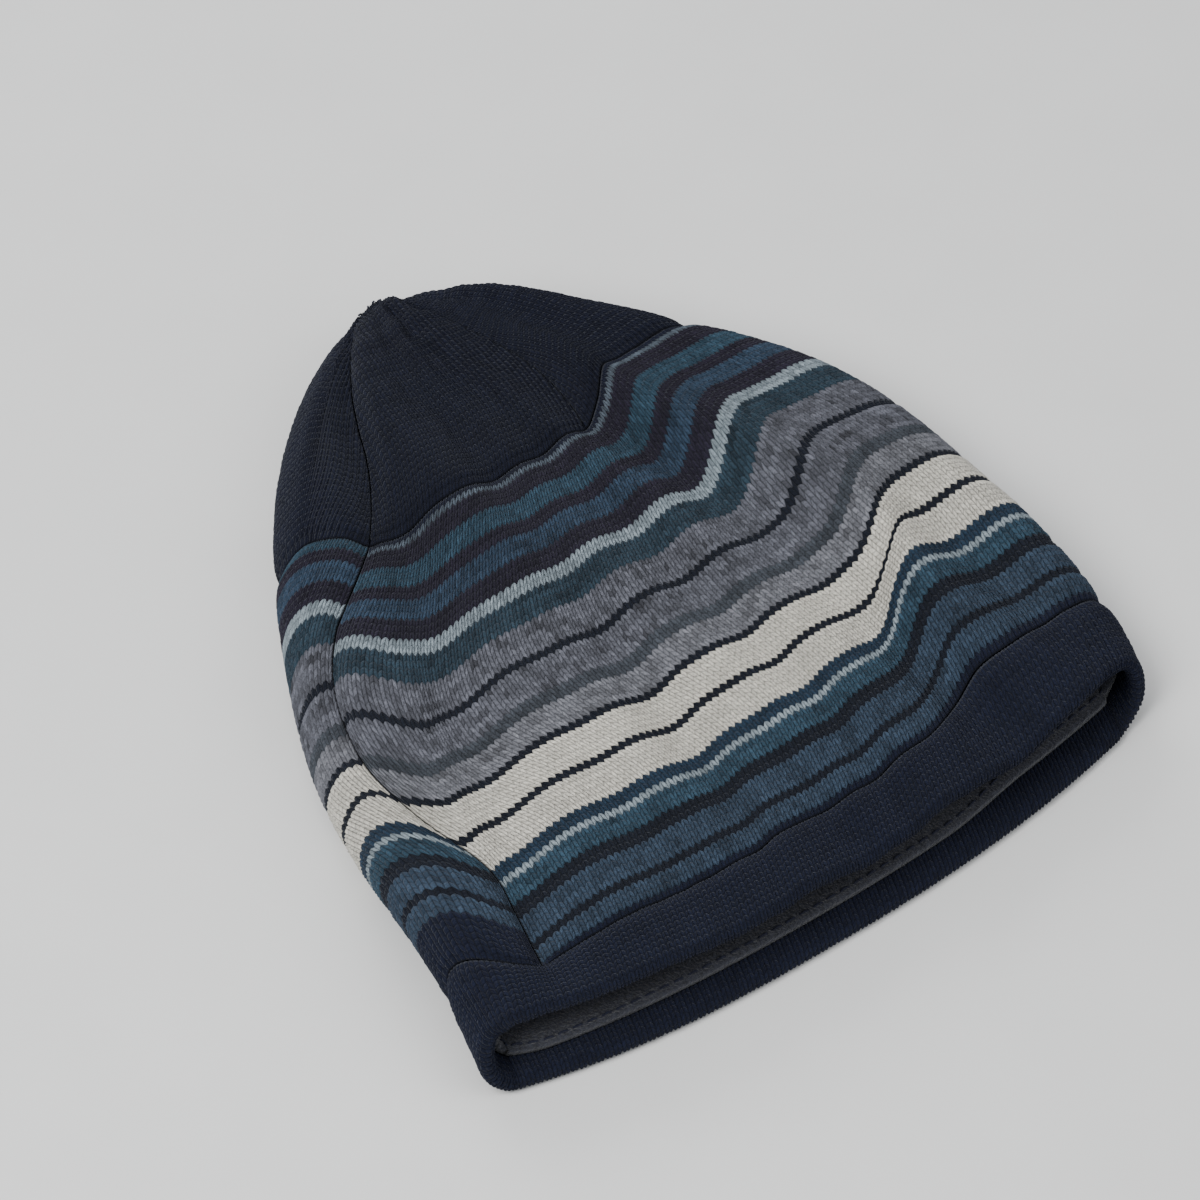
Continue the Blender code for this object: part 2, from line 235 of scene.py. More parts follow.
KNOT_WANDER = 0.0015
KNOT_TURNS = 3
KNOT_HEIGHT = 0.0003
KNOT_THICKNESS = 1.3
TURN_POINTS = 16            # points in a turn of the knot

# ---------------------------------------- yarns

# Colour, and how strongly their stitches vary
YARNS = {
    "navy": ((0.006, 0.008, 0.019), 0.12),
    "crown_navy": ((0.0056, 0.007, 0.0155), 0.12),
    "dark": ((0.007, 0.009, 0.015), 0.10),
    "dark_blue": ((0.013, 0.026, 0.045), 0.16),
    "blue_grey": ((0.026, 0.041, 0.064), 0.22),
    "teal": ((0.023, 0.048, 0.072), 0.22),
    "light": ((0.195, 0.235, 0.260), 0.18),
    "white": ((0.510, 0.488, 0.430), 0.08),
    "light_grey": ((0.135, 0.138, 0.155), 0.24),
    "dim": ((0.042, 0.048, 0.058), 0.22),
    "grey": ((0.085, 0.088, 0.105), 0.30),
    "teal_dark": ((0.019, 0.034, 0.048), 0.24),
    "plum": ((0.014, 0.012, 0.0215), 0.18),
    "blue": ((0.024, 0.041, 0.068), 0.22),
    "dim_light": ((0.070, 0.088, 0.110), 0.22),
}

# Stripes of the front from the brim up: the yarn, and how many courses of it
STRIPES = (
    ("navy", 1), ("blue_grey", 3), ("dark", 1), ("blue_grey", 4), ("dark", 2), ("teal", 3), ("light", 1),
    ("dark_blue", 2), ("white", 5), ("dark", 1), ("white", 5), ("dark", 1), ("light_grey", 4), ("dim", 2),
    ("grey", 5), ("dark", 1), ("grey", 5), ("teal_dark", 4), ("light", 2), ("plum", 3), ("blue", 3),
    ("plum", 2), ("teal", 3), ("plum", 3), ("dim_light", 1), ("navy", 1),
)


# ---------------------------------------- the shape of the skin

def smooth_step(x, start, end):
    """0 up to start, 1 from end on, and a smooth step between them."""
    t = np.clip((x - start) / (end - start), 0.0, 1.0)
    return t * t * (3.0 - 2.0 * t)


def at_height(v, first, *changes):
    """A value that is first at the hem; each change is an amount and the heights that it runs between."""
    value = first
    for amount, start, end in changes:
        value = value + amount * smooth_step(v, start, end)
    return value


def hump(x, width):
    return np.exp(-(x / width) ** 2)


CLOTH_LENGTH = math.sqrt((HAT_LENGTH + MIDDLE_TURN) ** 2 - MIDDLE_TURN ** 2)
COURSE = (BODY_TOP - BRIM_TOP) * CLOTH_LENGTH / BODY_COURSES


def middle_y(v):
    return HAT_LENGTH - (np.hypot((1.0 - v) * CLOTH_LENGTH, MIDDLE_TURN) - MIDDLE_TURN)


def side_y(v):
    drop = HAT_LENGTH - HEM_BOW
    length = math.sqrt(drop * drop + 2.0 * SIDE_TURN * drop)
    return HAT_LENGTH - (np.hypot((1.0 - v) * length, SIDE_TURN) - SIDE_TURN)


def half_width(y):
    near_hem = HALF_WIDTH - HEM_NARROWING * ((WIDEST_AT - y) / WIDEST_AT) ** 2
    t = np.clip((y - WIDEST_AT) / (HAT_LENGTH - WIDEST_AT), 0.0, 1.0)
    return np.where(y < WIDEST_AT, near_hem, HALF_WIDTH * np.sqrt(1.0 - t * t) * (1.0 - CROWN_TAPER * t * t))


def middle_height(y):
    return HEM_HALF_THICKNESS + BODY_SWELL * np.sin(np.pi * np.clip(y / HAT_LENGTH, 0.0, 1.0))


def half_thickness(y):
    to_tip = np.maximum(1.0 - (HAT_LENGTH - y) / TIP_LENGTH, 0.0)
    return middle_height(y) * np.sqrt(np.maximum(1.0 - to_tip * to_tip, 0.0))


def centre_line(y):
    return LEAN * (1.0 - np.exp(-y / LEAN_RISE))


def quarter_girth(y):
    radius = half_thickness(y)
    return np.pi / 2.0 * radius + half_width(y) - radius


def section(place, y):
    """A place round the section at y, as how far along the flat it is and its angle on the round."""
    radius = half_thickness(y)
    round_part = np.pi / 2.0 * radius / quarter_girth(y)
    place = np.mod(place, 4.0)
    quarter = np.floor(place)
    along = place - quarter
    from_side = np.where((quarter == 0) | (quarter == 2), along, 1.0 - along)
    turn = np.pi / 2.0 * np.minimum(from_side / round_part, 1.0)
    flat = 1.0 - np.maximum(from_side - round_part, 0.0) / (1.0 - round_part)
    side = np.where((quarter == 0) | (quarter == 3), -1.0, 1.0)
    face = np.where(quarter <= 1, 1.0, -1.0)
    return side * flat, side * np.cos(turn), face * np.sin(turn)


def turned(v, p):
    """The place round the section where the cloth's p comes to lie."""
    wander = HEM_DRIFT * (1.0 - smooth_step(v, *HEM_DRIFT_FADE))
    wander = wander + CROWN_DRIFT * smooth_step(v, *CROWN_DRIFT_RISE)
    return p + SEAM_IN + wander * np.cos(np.pi * p / 4.0) ** 2


def settled(z):
    low = z - SETTLE
    return np.where(low >= SETTLE_EDGE, low, np.maximum(low + SETTLE_EDGE, 0.0) ** 2 / (4.0 * SETTLE_EDGE))


def course_rise(v, lateral):
    """How far a course has risen towards the crown, as a share of its rise at the side.

    At the hem it rises evenly. Further up, it sags a little in the middle, the left half stays straight
    until it turns over the side, and the right half climbs over a soft fold.
    """
    across = np.abs(lateral)
    even = across ** SIDE_BOW_POWER
    left = LEFT_SLOPE * smooth_step(across, 0.0, LEFT_SLOPE_REACH)
    left = left + (1.0 - LEFT_SLOPE) * smooth_step(across, at_height(v, *LEFT_TURN), 1.0)
    climb = at_height(v, *CLIMB)
    half = at_height(v, *CLIMB_WIDTH) / 2.0
    right = RIGHT_SLOPE * smooth_step(across, 0.0, 1.0)
    right = right + RIGHT_CLIMB * smooth_step(across, climb - half, climb + half)
    sag = at_height(v, *SAG)
    share = np.where(lateral < 0.0, left, right) * (1.0 + sag) - sag
    bend = smooth_step(v, *BEND_RISE) * (1.0 - smooth_step(v, *BEND_FADE))
    return even + (share - even) * bend


def bare_face(v, p):
    """The outer face of the skin before its folds and dents."""
    reference = middle_y(v)
    flat, out, up = section(turned(v, p), reference)
    radius = half_thickness(reference)
    width = half_width(reference)
    lateral = (flat * (width - radius) + out * radius) / width
    y = reference + (side_y(v) - reference) * course_rise(v, lateral)
    radius = half_thickness(y)
    x = centre_line(y) + flat * (half_width(y) - radius) + out * radius
    bulge = FRONT_BULGE * np.maximum(up, 0.0) * (1.0 - flat * flat) * radius / middle_height(y)
    return np.stack((x, y, settled(middle_height(y) + up * radius + bulge)), axis=-1)


def to_seam(v, p, seam):
    """Distance round the cloth from a seam to p."""
    return (np.mod(p - seam + 2.0, 4.0) - 2.0) * quarter_girth(middle_y(v))


def swell(v, p):
    """How far folds and dents lift the cloth above the bare skin."""
    place = turned(v, p)
    body = smooth_step(v, *SIDE_DENT_RISE)
    crown = smooth_step(v, *CROWN_DENT_RISE)
    lift = -SEAM_DENT * body * hump(to_seam(v, p, 0), DENT_WIDTH)
    lift = lift - RIGHT_DENT * body * hump(to_seam(v, p, 2), DENT_WIDTH)
    for seam in (1, 3):
        lift = lift - CROWN_DENT * crown * hump(to_seam(v, p, seam), DENT_WIDTH)
    lift = lift - RING_DENT * hump((v - BODY_TOP) * CLOTH_LENGTH, DENT_WIDTH)
    lift = lift + BRIM_STEP * (1.0 - smooth_step(v, BRIM_TOP - BRIM_STEP_REACH, BRIM_TOP + BRIM_STEP_REACH))

    front = np.maximum(np.sin(np.pi / 2.0 * place), 0.0)
    lift = lift - MOUTH_SAG * front ** 2 * (1.0 - smooth_step(v, 0.0, MOUTH_REACH))

    from_fold = place - at_height(v, *FOLD_PLACE)
    fold = FOLD_HEIGHT * smooth_step(v, *FOLD_RISE) * (1.0 - smooth_step(v, *FOLD_FADE))
    lift = lift + fold * hump(from_fold, FOLD_WIDTH)
    lift = lift - HOLLOW_SHARE * fold * hump(from_fold + HOLLOW_AWAY * FOLD_WIDTH, FOLD_WIDTH)

    angle = np.pi / 2.0 * place
    gather = smooth_step(v, *PLEATS_RISE)
    for count, height, phase in PLEATS:
        lift = lift + height * gather * np.cos(count * angle + phase)
    for count, rise, phase in WAVES:
        lift = lift + WAVE_HEIGHT * np.sin(count * angle + rise * 2.0 * v + phase)
    return lift * (1.0 - smooth_step(v, *POLE_FADE))


def spline_shares(t):
    """Shares of four values in a row for a place that lies t of the way between the middle two."""
    return ((1.0 - t) ** 3 / 6.0, (3.0 * t ** 3 - 6.0 * t * t + 4.0) / 6.0,
            (3.0 * (t + t * t - t ** 3) + 1.0) / 6.0, t ** 3 / 6.0)


def slack(v, p):
    """How far the simulation has moved the cloth, smoothly between the points of its coarse tube."""
    row = np.clip(v, 0.0, 1.0) * SLACK_ROWS
    column = np.mod(p, 4.0) / 4.0 * SLACK_COLUMNS
    first_row = np.floor(row).astype(int)
    first_column = np.floor(column).astype(int)
    moved = 0.0
    for i, row_share in enumerate(spline_shares(row - first_row)):
        near_row = np.clip(first_row + i - 1, 0, SLACK_ROWS)
        for j, column_share in enumerate(spline_shares(column - first_column)):
            near_column = (first_column + j - 1) % SLACK_COLUMNS
            moved = moved + (row_share * column_share)[..., None] * SLACK_MOVES[near_row, near_column]
    return moved


def skin(v, p, depth=0.0):
    """Points of the skin, depth below its outer face, in the frame."""
    v, p, depth = np.broadcast_arrays(v, p, depth)
    step_v, step_p = SLOPE_STEPS
    face = bare_face(v, p)
    up = bare_face(np.minimum(v + step_v, POLE), p) - bare_face(v - step_v, p)
    across = bare_face(v, p + step_p) - bare_face(v, p - step_p)
    outward = np.cross(across, up)
    outward = outward / np.linalg.norm(outward, axis=-1, keepdims=True)
    lift = swell(v, p) * np.clip(face[..., 2] / RESTING, 0.0, 1.0) - depth
    return face + outward * lift[..., None] + slack(v, p) + ORIGIN_SHIFT


def frame_shift():
    """How far the frame moved the skin to stand on its origin, from where it put the crown's tack."""
    low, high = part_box("crown_tack")
    middle = [(low[k] + high[k]) / 2.0 for k in range(3)]
    return np.array(middle) - skin(POLE, 0.0, KNIT / 2.0)


SLACK_MOVES = np.zeros((SLACK_ROWS + 1, SLACK_COLUMNS, 3))
ORIGIN_SHIFT = np.zeros(3)
ORIGIN_SHIFT = frame_shift()


# ---------------------------------------- meshes

def corner_layer(mesh, name, rgb):
    layer = mesh.color_attributes.new(name, "FLOAT_COLOR", "CORNER")
    rgba = np.concatenate((rgb, np.ones((len(rgb), 1))), axis=1)
    layer.data.foreach_set("color", rgba.astype(np.float32).ravel())


def mesh_object(name, points, faces, material):
    """An object from points and lists of face arrays."""
    corners = np.concatenate([f.ravel() for f in faces])
    sizes = np.concatenate([np.full(len(f), f.shape[1]) for f in faces])
    mesh = bpy.data.meshes.new(name)
    mesh.vertices.add(len(points))
    mesh.vertices.foreach_set("co", points.astype(np.float32).ravel())
    mesh.loops.add(len(corners))
    mesh.loops.foreach_set("vertex_index", corners.astype(np.int32))
    mesh.polygons.add(len(sizes))
    mesh.polygons.foreach_set("loop_start", (np.cumsum(sizes) - sizes).astype(np.int32))
    mesh.update(calc_edges=True)
    mesh.shade_smooth()
    mesh.materials.append(material)
    obj = bpy.data.objects.new(name, mesh)
    bpy.context.scene.collection.objects.link(obj)
    return obj


def looped(grid, ring):
    """A grid of point numbers, with its first column at its end again if it goes round."""
    return np.concatenate((grid, grid[:, :1]), axis=1) if ring else grid


def outward_faces(grid):
    return np.stack((grid[:-1, :-1], grid[:-1, 1:], grid[1:, 1:], grid[1:, :-1]), -1).reshape(-1, 4)


def inward_faces(grid):
    return np.stack((grid[:-1, :-1], grid[1:, :-1], grid[1:, 1:], grid[:-1, 1:]), -1).reshape(-1, 4)


def rim(outer, inner, ratio, flip):
    """Triangles between an outer edge and an inner edge that has ratio times fewer spans."""
    spans = len(inner) - 1
    turn = (ratio + 1) // 2
    found = []
    for m in range(ratio):
        near = inner[:-1] if m < turn else inner[1:]
        found.append(np.stack((outer[m::ratio][:spans], outer[m + 1::ratio][:spans], near), axis=1))
    found.append(np.stack((outer[turn::ratio][:spans], inner[1:], inner[:-1]), axis=1))
    return [f[:, ::-1] for f in found] if flip else found


def yarn_shades(courses, wales, seed):
    """How much lighter or darker each leg of each stitch is, in streaks that run along the yarn."""
    rng = np.random.default_rng(seed)
    streaks = rng.normal(size=(courses, 2 * wales + 4))
    streaks = (streaks[:, :-4] + streaks[:, 1:-3] + streaks[:, 2:-2] + streaks[:, 3:-1]) / 2.0
    shades = STREAK_SHARE * streaks + SPECK_SHARE * rng.normal(size=(courses, 2 * wales))
    return np.clip(shades, -SHADE_LIMIT, SHADE_LIMIT)


def relief(i, j, courses, wales, pinned, yarns, seed, ring):
    """How deep each point of a knitted piece lies below its smooth outer face."""
    rng = np.random.default_rng(seed)
    stitch_height = 1.0 - UNEVEN * rng.random((courses + 1, wales + 1))[i // ROWS, j // COLUMNS]
    profile = ACROSS[j % COLUMNS] * (0.5 + 0.5 * ALONG[i % ROWS]) * stitch_height
    lines = np.array([LINE_GROOVE if yarn == "dark" else 0.0 for yarn in yarns] + [0.0])
    sunk = np.where(pinned, RELIEF, RELIEF * (1.0 - profile) + lines[i // ROWS])
    from_rim = np.minimum(i, courses * ROWS - i) / ROWS * COURSE
    sunk = sunk + EDGE_TUCK * hump(from_rim, TUCK_LENGTH)
    if not ring:
        from_side = np.minimum(j, wales * COLUMNS - j) / COLUMNS * WALE
        sunk = sunk + EDGE_TUCK * hump(from_side, TUCK_LENGTH) * (1.0 - pinned)
    return np.minimum(sunk, DEEPEST * KNIT)


def knit_shell(name, wales, courses, lay, yarns, material, seed, ring=False):
    """A closed piece of jersey knit.

    lay(wale, course, level) gives the outer face's points, the inner face's points, and which of them
    are pinned to a cut edge; course follows the stitches' V shape and level doesn't. yarns names the
    yarn of each course.
    """
    rows, columns = courses * ROWS, wales * COLUMNS
    i = np.arange(rows + 1)[:, None]
    j = np.arange(columns if ring else columns + 1)[None, :]
    level = i / ROWS + 0.0 * j
    chevron = SLANT * (np.abs(2.0 * (j % COLUMNS) / COLUMNS - 1.0) - 0.5)
    from_rim = np.minimum(i, rows - i) / ROWS
    outside, inside, pinned = lay(j / COLUMNS + 0.0 * i, level + chevron * np.minimum(from_rim, 1.0), level)
    sunk = relief(i, j, courses, wales, pinned, yarns, seed, ring)
    outside = outside + (inside - outside) * (sunk / KNIT)[..., None]
    inside = inside[::ROWS, ::COLUMNS]
    points = np.concatenate((outside.reshape(-1, 3), inside.reshape(-1, 3)))
    outer = np.arange(outside[..., 0].size).reshape(outside.shape[:2])
    inner = np.arange(inside[..., 0].size).reshape(inside.shape[:2]) + outer.size
    outer, inner = looped(outer, ring), looped(inner, ring)

    base = np.array([YARNS[yarn][0] for yarn in yarns])
    contrast = np.array([YARNS[yarn][1] for yarn in yarns])
    shades = yarn_shades(courses, wales, seed + 1)

    def coloured(course, leg):
        shade = np.maximum(1.0 + contrast[course] * shades[course, leg], DARKEST_SHADE)
        return base[course] * shade[:, None]

    row, column = np.divmod(np.arange(rows * columns), columns)
    within = np.stack((column % COLUMNS, row % ROWS), -1)[:, None, :]
    corner = np.array([[0, 0], [1, 0], [1, 1], [0, 1]])
    faces = [outward_faces(outer), inward_faces(inner)]
    colours = [coloured(row // ROWS, column // (COLUMNS // 2))]
    stitches = [((within + corner) / (COLUMNS, ROWS)).reshape(-1, 2)]
    course, wale = np.divmod(np.arange(courses * wales), wales)
    colours.append(coloured(course, 2 * wale))
    stitches.append(np.tile(corner[:, ::-1] * 1.0, (courses * wales, 1)))

    along = np.arange(wales)
    up = np.arange(courses)
    edges = [(outer[0], inner[0], COLUMNS, True, 0 * along, 2 * along),
             (outer[-1], inner[-1], COLUMNS, False, 0 * along + courses - 1, 2 * along)]
    if not ring:
        edges += [(outer[:, 0], inner[:, 0], ROWS, False, up, 0 * up),
                  (outer[:, -1], inner[:, -1], ROWS, True, up, 0 * up + 2 * wales - 1)]
    for outer_edge, inner_edge, ratio, flip, course, leg in edges:
        for triangles in rim(outer_edge, inner_edge, ratio, flip):
            faces.append(triangles)
            colours.append(coloured(course, leg))
            stitches.append(np.full((triangles.size, 2), 0.5))

    piece = mesh_object(name, points, faces, material)
    corners = np.concatenate([np.full(len(f), f.shape[1]) for f in faces])
    corner_layer(piece.data, "yarn_colour", np.repeat(np.concatenate(colours), corners, axis=0))
    in_stitch = np.concatenate(stitches)
    corner_layer(piece.data, "in_stitch", np.concatenate((in_stitch, 0.0 * in_stitch[:, :1]), axis=1))
    return piece


def merge_pinned(obj):
    """Closes up the faces that a cut edge has left without any area."""
    mesh = bmesh.new()
    mesh.from_mesh(obj.data)
    bmesh.ops.remove_doubles(mesh, verts=mesh.verts, dist=MERGE_DISTANCE)
    mesh.to_mesh(obj.data)
    mesh.free()


def strands(name, paths, radius, material):
    """Threads along paths: each is (points, whether it closes, how thick it is against radius)."""
    curve = bpy.data.curves.new(name, "CURVE")
    curve.dimensions = "3D"
    curve.bevel_depth = radius
    curve.bevel_resolution = 1
    curve.use_fill_caps = True
    for points, closed, thickness in paths:
        spline = curve.splines.new("POLY")
        spline.points.add(len(points) - 1)
        spline.points.foreach_set("co", np.concatenate((points, np.ones((len(points), 1))), axis=1).ravel())
        spline.points.foreach_set("radius", np.full(len(points), thickness))
        spline.use_cyclic_u = closed
        spline.use_smooth = True
    curve.materials.append(material)
    obj = bpy.data.objects.new(name, curve)
    bpy.context.scene.collection.objects.link(obj)
    return obj


def place_piece(piece, slot, *nodes):
    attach(piece, "root")
    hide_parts(*nodes)
    return piece


def let_slacken(material):
    """Simulates the cloth, a little longer than its smooth shape, as it sinks over the floor.

    The moves of a coarse tube of it are kept in SLACK_MOVES, which every piece then follows.
    """
    v = np.linspace(0.0, 1.0, SLACK_ROWS + 1)[:, None]
    p = np.arange(SLACK_COLUMNS)[None, :] * 4.0 / SLACK_COLUMNS
    start = skin(np.minimum(v, POLE), p, KNIT / 2.0)
    number = np.arange(start[..., 0].size).reshape(start.shape[:2])
    tube = mesh_object("slack_tube", start.reshape(-1, 3), [outward_faces(looped(number, True))], material)

    at_hem = HEM_HOLD * (1.0 - smooth_step(v, 0.0, HEM_HELD))
    at_pole = smooth_step(v, POLE_HELD, 1.0)
    held = tube.vertex_groups.new(name="held")
    for row, strength in enumerate(np.maximum(at_hem, at_pole)[:, 0]):
        held.add(number[row].tolist(), float(strength), "REPLACE")
    cloth = tube.modifiers.new("cloth", "CLOTH")
    for setting, value in SLACK_CLOTH.items():
        setattr(cloth.settings, setting, value)
    cloth.settings.vertex_group_mass = "held"
    cloth.collision_settings.distance_min = KNIT / 2.0

    bpy.ops.mesh.primitive_plane_add(size=1.0, location=(0.0, 0.0, 0.0))
    ground = bpy.context.object
    ground.modifiers.new("ground", "COLLISION")
    scene = bpy.context.scene
    for step in range(1, SLACK_FRAMES + 1):
        scene.frame_set(step)
    ended = tube.evaluated_get(bpy.context.evaluated_depsgraph_get()).to_mesh()
    points = np.empty(start.size, np.float32)
    ended.vertices.foreach_get("co", points)

    moved = points.reshape(start.shape) - start
    far = np.linalg.norm(moved, axis=-1, keepdims=True) / SLACK_LIMIT
    free = smooth_step(start[..., 2:], REST_HEIGHT, FREE_HEIGHT)
    SLACK_MOVES[:] = moved * free * np.tanh(far) / np.maximum(far, TINY_MOVE)
    bpy.data.objects.remove(tube)
    bpy.data.objects.remove(ground)
    scene.frame_set(1)


# ---------------------------------------- materials

LEGS = 1.9998               # legs across a stitch, a hair under two so that its edge isn't a third
LEG_ROUNDNESS = 0.97        # 1 would take the yarn down to nothing at the edge of a leg
HEAD_LENGTH = 0.30          # over which a leg rounds off at its head, as a share of a course
FOOT = (-0.12, 0.26)        # and the places between which it does at its foot
LEG_RISE = 0.55             # how much of the yarn's height that takes
PLY_TURNS = 2.0             # turns of the plies in a stitch
PLY_LEAN = 2.2              # how far round its middle a ply turns across half a leg, in radians
PLY_HEIGHT = 0.07           # height of the plies, as a share of the yarn's
PAINTED_SHADE_HEIGHTS = (0.05, 0.75)      # heights of yarn between which the painted shade in the crevices fades to none
PAINTED_CREVICE_SHADE = 0.38        # painted shade: how light the yarn's colour is lower down in the crevices, against 1 higher up
FUZZ_HEIGHT = 0.16          # height of loose fibres, as a share of the yarn's
YARN_BUMP = 0.0007          # height of the bump that rounds each leg of a stitch


def principled(name, roughness, sheen=0.0, sheen_roughness=0.5):
    material = bpy.data.materials.new(name)
    material.use_nodes = True
    shader = material.node_tree.nodes["Principled BSDF"]
    shader.inputs["Roughness"].default_value = roughness
    shader.inputs["Sheen Weight"].default_value = sheen
    shader.inputs["Sheen Roughness"].default_value = sheen_roughness
    shader.inputs["Specular IOR Level"].default_value = 0.25
    return material, material.node_tree, shader


def noise(tree, scale, detail, low=0.0, high=1.0, stretch=(1.0, 1.0, 1.0)):
    """A noise in object space whose values run from low to high."""
    coordinates = tree.nodes.new("ShaderNodeTexCoord")
    mapping = tree.nodes.new("ShaderNodeMapping")
    mapping.inputs["Scale"].default_value = stretch
    texture = tree.nodes.new("ShaderNodeTexNoise")
    texture.inputs["Scale"].default_value = scale
    texture.inputs["Detail"].default_value = detail
    spread = tree.nodes.new("ShaderNodeMapRange")
    spread.inputs["From Min"].default_value = 0.3       # nearly all of the noise lies between these two
    spread.inputs["From Max"].default_value = 0.7
    spread.inputs["To Min"].default_value = low
    spread.inputs["To Max"].default_value = high
    tree.links.new(coordinates.outputs["Object"], mapping.inputs["Vector"])
    tree.links.new(mapping.outputs["Vector"], texture.inputs["Vector"])
    tree.links.new(texture.outputs["Fac"], spread.inputs["Value"])
    return spread.outputs["Result"]


def multiplied(tree, colour, factor):
    """Colour times a grey factor."""
    mix = tree.nodes.new("ShaderNodeMix")
    mix.data_type = "RGBA"
    mix.blend_type = "MULTIPLY"
    mix.inputs["Factor"].default_value = 1.0
    tree.links.new(colour, mix.inputs["A"])
    tree.links.new(factor, mix.inputs["B"])
    return mix.outputs["Result"]


def colour_in(tree, shader, rgb, variation):
    """Gives the shader one colour, which variation makes lighter and darker."""
    base = tree.nodes.new("ShaderNodeRGB")
    base.outputs["Color"].default_value = (*rgb, 1.0)
    tree.links.new(multiplied(tree, base.outputs["Color"], variation), shader.inputs["Base Color"])


def bumped(tree, shader, height, distance):
    bump = tree.nodes.new("ShaderNodeBump")
    bump.inputs["Strength"].default_value = 1.0
    bump.inputs["Distance"].default_value = distance
    tree.links.new(height, bump.inputs["Height"])
    tree.links.new(bump.outputs["Normal"], shader.inputs["Normal"])


def maths(tree, operation, *values):
    """A Math node on numbers and sockets."""
    node = tree.nodes.new("ShaderNodeMath")
    node.operation = operation
    for socket, value in zip(node.inputs, values):
        if isinstance(value, float):
            socket.default_value = value
        else:
            tree.links.new(value, socket)
    return node.outputs["Value"]


def scaled(tree, value, factor, offset):
    return maths(tree, "ADD", maths(tree, "MULTIPLY", value, factor), offset)


def ramp(tree, value, start, end):
    """0 before start, 1 after end and a smooth step between them."""
    node = tree.nodes.new("ShaderNodeMapRange")
    node.interpolation_type = "SMOOTHSTEP"
    node.inputs["From Min"].default_value = start
    node.inputs["From Max"].default_value = end
    tree.links.new(value, node.inputs["Value"])
    return node.outputs["Result"]


def attribute(tree, name):
    node = tree.nodes.new("ShaderNodeAttribute")
    node.attribute_name = name
    return node.outputs["Color"]


def yarn_height(tree):
    """Height of the yarn in a stitch: two round legs in a V, each twisted from two plies."""
    split = tree.nodes.new("ShaderNodeSeparateColor")
    tree.links.new(attribute(tree, "in_stitch"), split.inputs["Color"])
    side, along = split.outputs["Red"], split.outputs["Green"]
    in_leg = maths(tree, "FRACT", maths(tree, "MULTIPLY", side, LEGS))
    from_middle = scaled(tree, in_leg, 2.0, -1.0)
    fall = maths(tree, "MULTIPLY", maths(tree, "MULTIPLY", from_middle, from_middle), LEG_ROUNDNESS)
    rounded = maths(tree, "SQRT", maths(tree, "SUBTRACT", 1.0, fall))
    head = ramp(tree, maths(tree, "SUBTRACT", 1.0, along), 0.0, HEAD_LENGTH)
    foot = ramp(tree, along, *FOOT)
    tucked = scaled(tree, maths(tree, "MULTIPLY", head, foot), LEG_RISE, 1.0 - LEG_RISE)
    phase = maths(tree, "ADD", maths(tree, "MULTIPLY", along, PLY_TURNS * 2.0 * math.pi),
                  maths(tree, "MULTIPLY", from_middle, PLY_LEAN))
    twist = scaled(tree, maths(tree, "SINE", phase), PLY_HEIGHT, 1.0 - PLY_HEIGHT)
    return maths(tree, "MULTIPLY", maths(tree, "MULTIPLY", rounded, tucked), twist)


def knit_material():
    """Soft acrylic and wool yarn, coloured stitch by stitch in the mesh, with plies and fibres on top, and
    shade painted into its colour where the yarn lies low between the legs.
    """
    material, tree, shader = principled("yarn", roughness=0.90, sheen=0.06, sheen_roughness=0.40)
    shader.inputs["Specular IOR Level"].default_value = 0.15
    shader.inputs["Sheen Tint"].default_value = (0.75, 0.80, 0.92, 1.0)
    height = yarn_height(tree)
    # painted shade: the yarn's colour is darkened where it lies low, in the crevices between legs and
    # stitches
    shade = scaled(tree, ramp(tree, height, *PAINTED_SHADE_HEIGHTS), 1.0 - PAINTED_CREVICE_SHADE, PAINTED_CREVICE_SHADE)
    fibres = noise(tree, scale=2300.0, detail=4.0, low=0.74, high=1.24)
    wear = noise(tree, scale=45.0, detail=2.0, low=0.93, high=1.07)
    colour = multiplied(tree, multiplied(tree, attribute(tree, "yarn_colour"), fibres), wear)
    tree.links.new(multiplied(tree, colour, shade), shader.inputs["Base Color"])
    fuzz = maths(tree, "MULTIPLY", noise(tree, scale=3600.0, detail=4.0), FUZZ_HEIGHT)
    bumped(tree, shader, maths(tree, "ADD", height, fuzz), YARN_BUMP)
    return material


def fleece_material():
    material, tree, shader = principled("brushed_fleece", roughness=0.95, sheen=0.22, sheen_roughness=0.55)
    pile = noise(tree, scale=900.0, detail=5.0, low=0.55, high=1.45)
    colour_in(tree, shader, (0.022, 0.024, 0.034), pile)
    bumped(tree, shader, noise(tree, scale=1500.0, detail=5.0), distance=0.0004)
    return material


def thread_material():
    material, tree, shader = principled("sewing_thread", roughness=0.75, sheen=0.05, sheen_roughness=0.40)
    twist = noise(tree, scale=1400.0, detail=3.0, low=0.70, high=1.30)
    colour_in(tree, shader, (0.011, 0.013, 0.026), twist)
    bumped(tree, shader, noise(tree, scale=2600.0, detail=3.0), distance=0.00010)
    return material


def satin_material():
    material, tree, shader = principled("satin_tape", roughness=0.42, sheen=0.15, sheen_roughness=0.30)
    weave = noise(tree, scale=700.0, detail=2.0, low=0.90, high=1.06, stretch=(0.12, 1.0, 1.0))
    colour_in(tree, shader, (0.70, 0.69, 0.66), weave)
    bumped(tree, shader, noise(tree, scale=2500.0, detail=2.0, stretch=(0.15, 1.0, 1.0)), distance=0.00005)
    return material


def floor_material():
    material, tree, shader = principled("floor_paint", roughness=0.65)
    grain = noise(tree, scale=30.0, detail=4.0, low=0.985, high=1.015)
    colour_in(tree, shader, (0.68, 0.68, 0.67), grain)
    return material


# ---------------------------------------- pieces

def courses_of(stripes):
    return [yarn for yarn, count in stripes for _ in range(count)]


